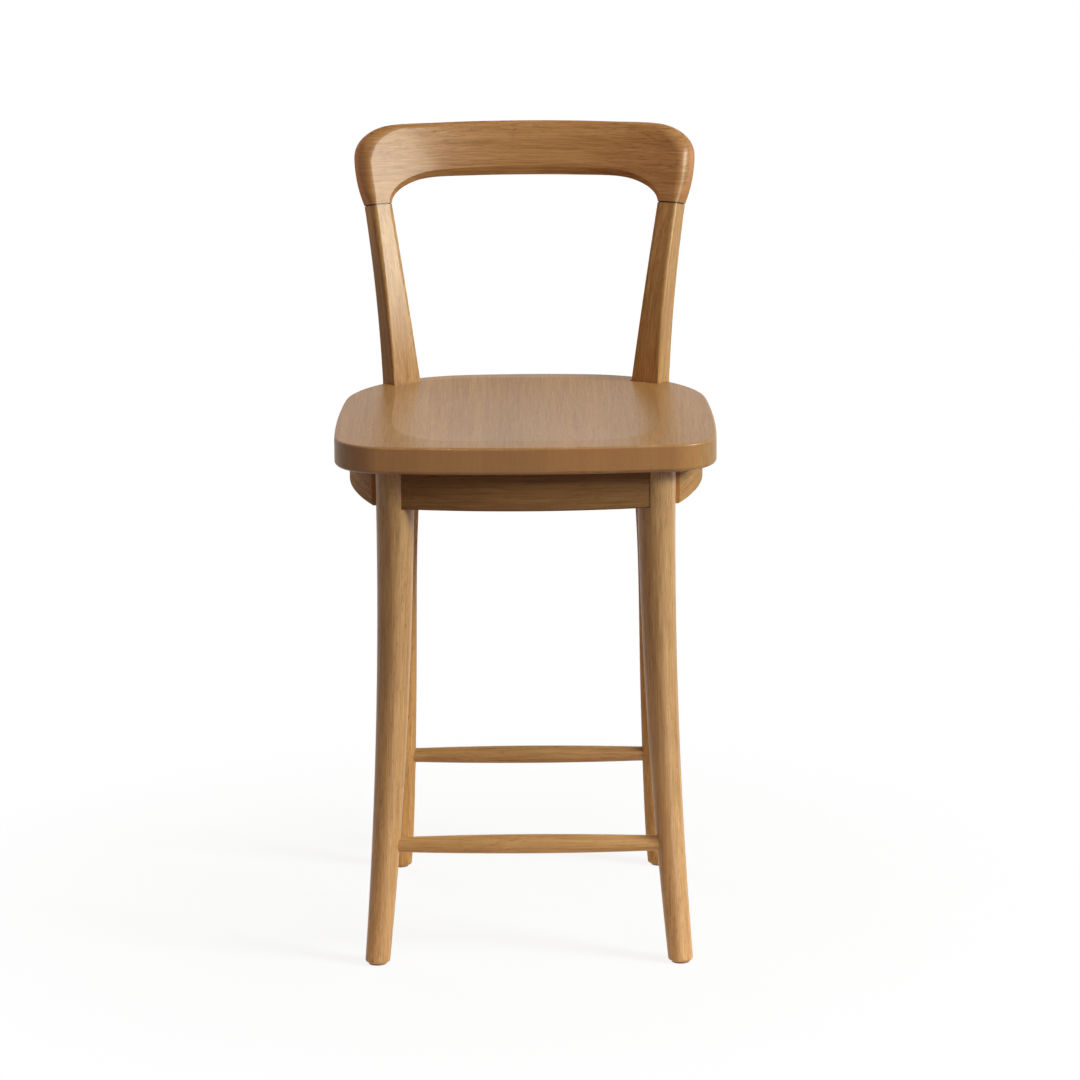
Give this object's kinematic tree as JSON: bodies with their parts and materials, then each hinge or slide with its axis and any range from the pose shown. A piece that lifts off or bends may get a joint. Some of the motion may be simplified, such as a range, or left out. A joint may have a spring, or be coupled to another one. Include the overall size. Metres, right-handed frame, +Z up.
{
  "type": "counter stool",
  "caption": "Wooden counter stool with a saddled solid seat, bowed aprons, splayed legs, a round footrest bar, a rear stretcher and a low curved open back.",
  "frame": {"origin": "on the floor, under the middle of the whole stool", "axes": "+X to the sitter's left hand as seen from the front (viewer's right), +Y to the back, +Z up"},
  "size_m": [0.466, 0.5114, 0.9705],
  "materials": {
    "crest_wood": "satin stain and lacquer",
    "leg_wood": "satin stain and lacquer",
    "post_wood": "satin stain and lacquer",
    "seat_wood": "satin stain and lacquer",
    "apron_wood": "satin stain and lacquer",
    "stretcher_wood": "satin stain and lacquer",
    "block_wood": "bare",
    "dowel_wood": "bare, glued in",
    "screw_steel": "zinc plated",
    "glide_plastic": "matte"
  },
  "bodies": {
    "root": {"corner_block_screws": "screw_steel", "crest_dowels": "dowel_wood", "crest_rail": "crest_wood", "footrest": "stretcher_wood", "front_apron": "apron_wood", "front_apron_dowels": "dowel_wood", "front_corner_block_left": "block_wood", "front_corner_block_right": "block_wood", "front_foot_glide_left": "glide_plastic", "front_foot_glide_right": "glide_plastic", "front_leg_left": "leg_wood", "front_leg_right": "leg_wood", "rear_apron": "apron_wood", "rear_apron_dowels": "dowel_wood", "rear_corner_block_left": "block_wood", "rear_corner_block_right": "block_wood", "rear_foot_glide_left": "glide_plastic", "rear_foot_glide_right": "glide_plastic", "rear_leg_left": "post_wood", "rear_leg_right": "post_wood", "rear_stretcher": "stretcher_wood", "seat_screws": "screw_steel", "seat_stave_1": "seat_wood", "seat_stave_2": "seat_wood", "seat_stave_3": "seat_wood", "seat_stave_4": "seat_wood", "seat_stave_5": "seat_wood", "seat_stave_6": "seat_wood", "side_apron_front_dowels": "dowel_wood", "side_apron_left": "apron_wood", "side_apron_rear_dowels": "dowel_wood", "side_apron_right": "apron_wood"}
  },
  "joints": []
}
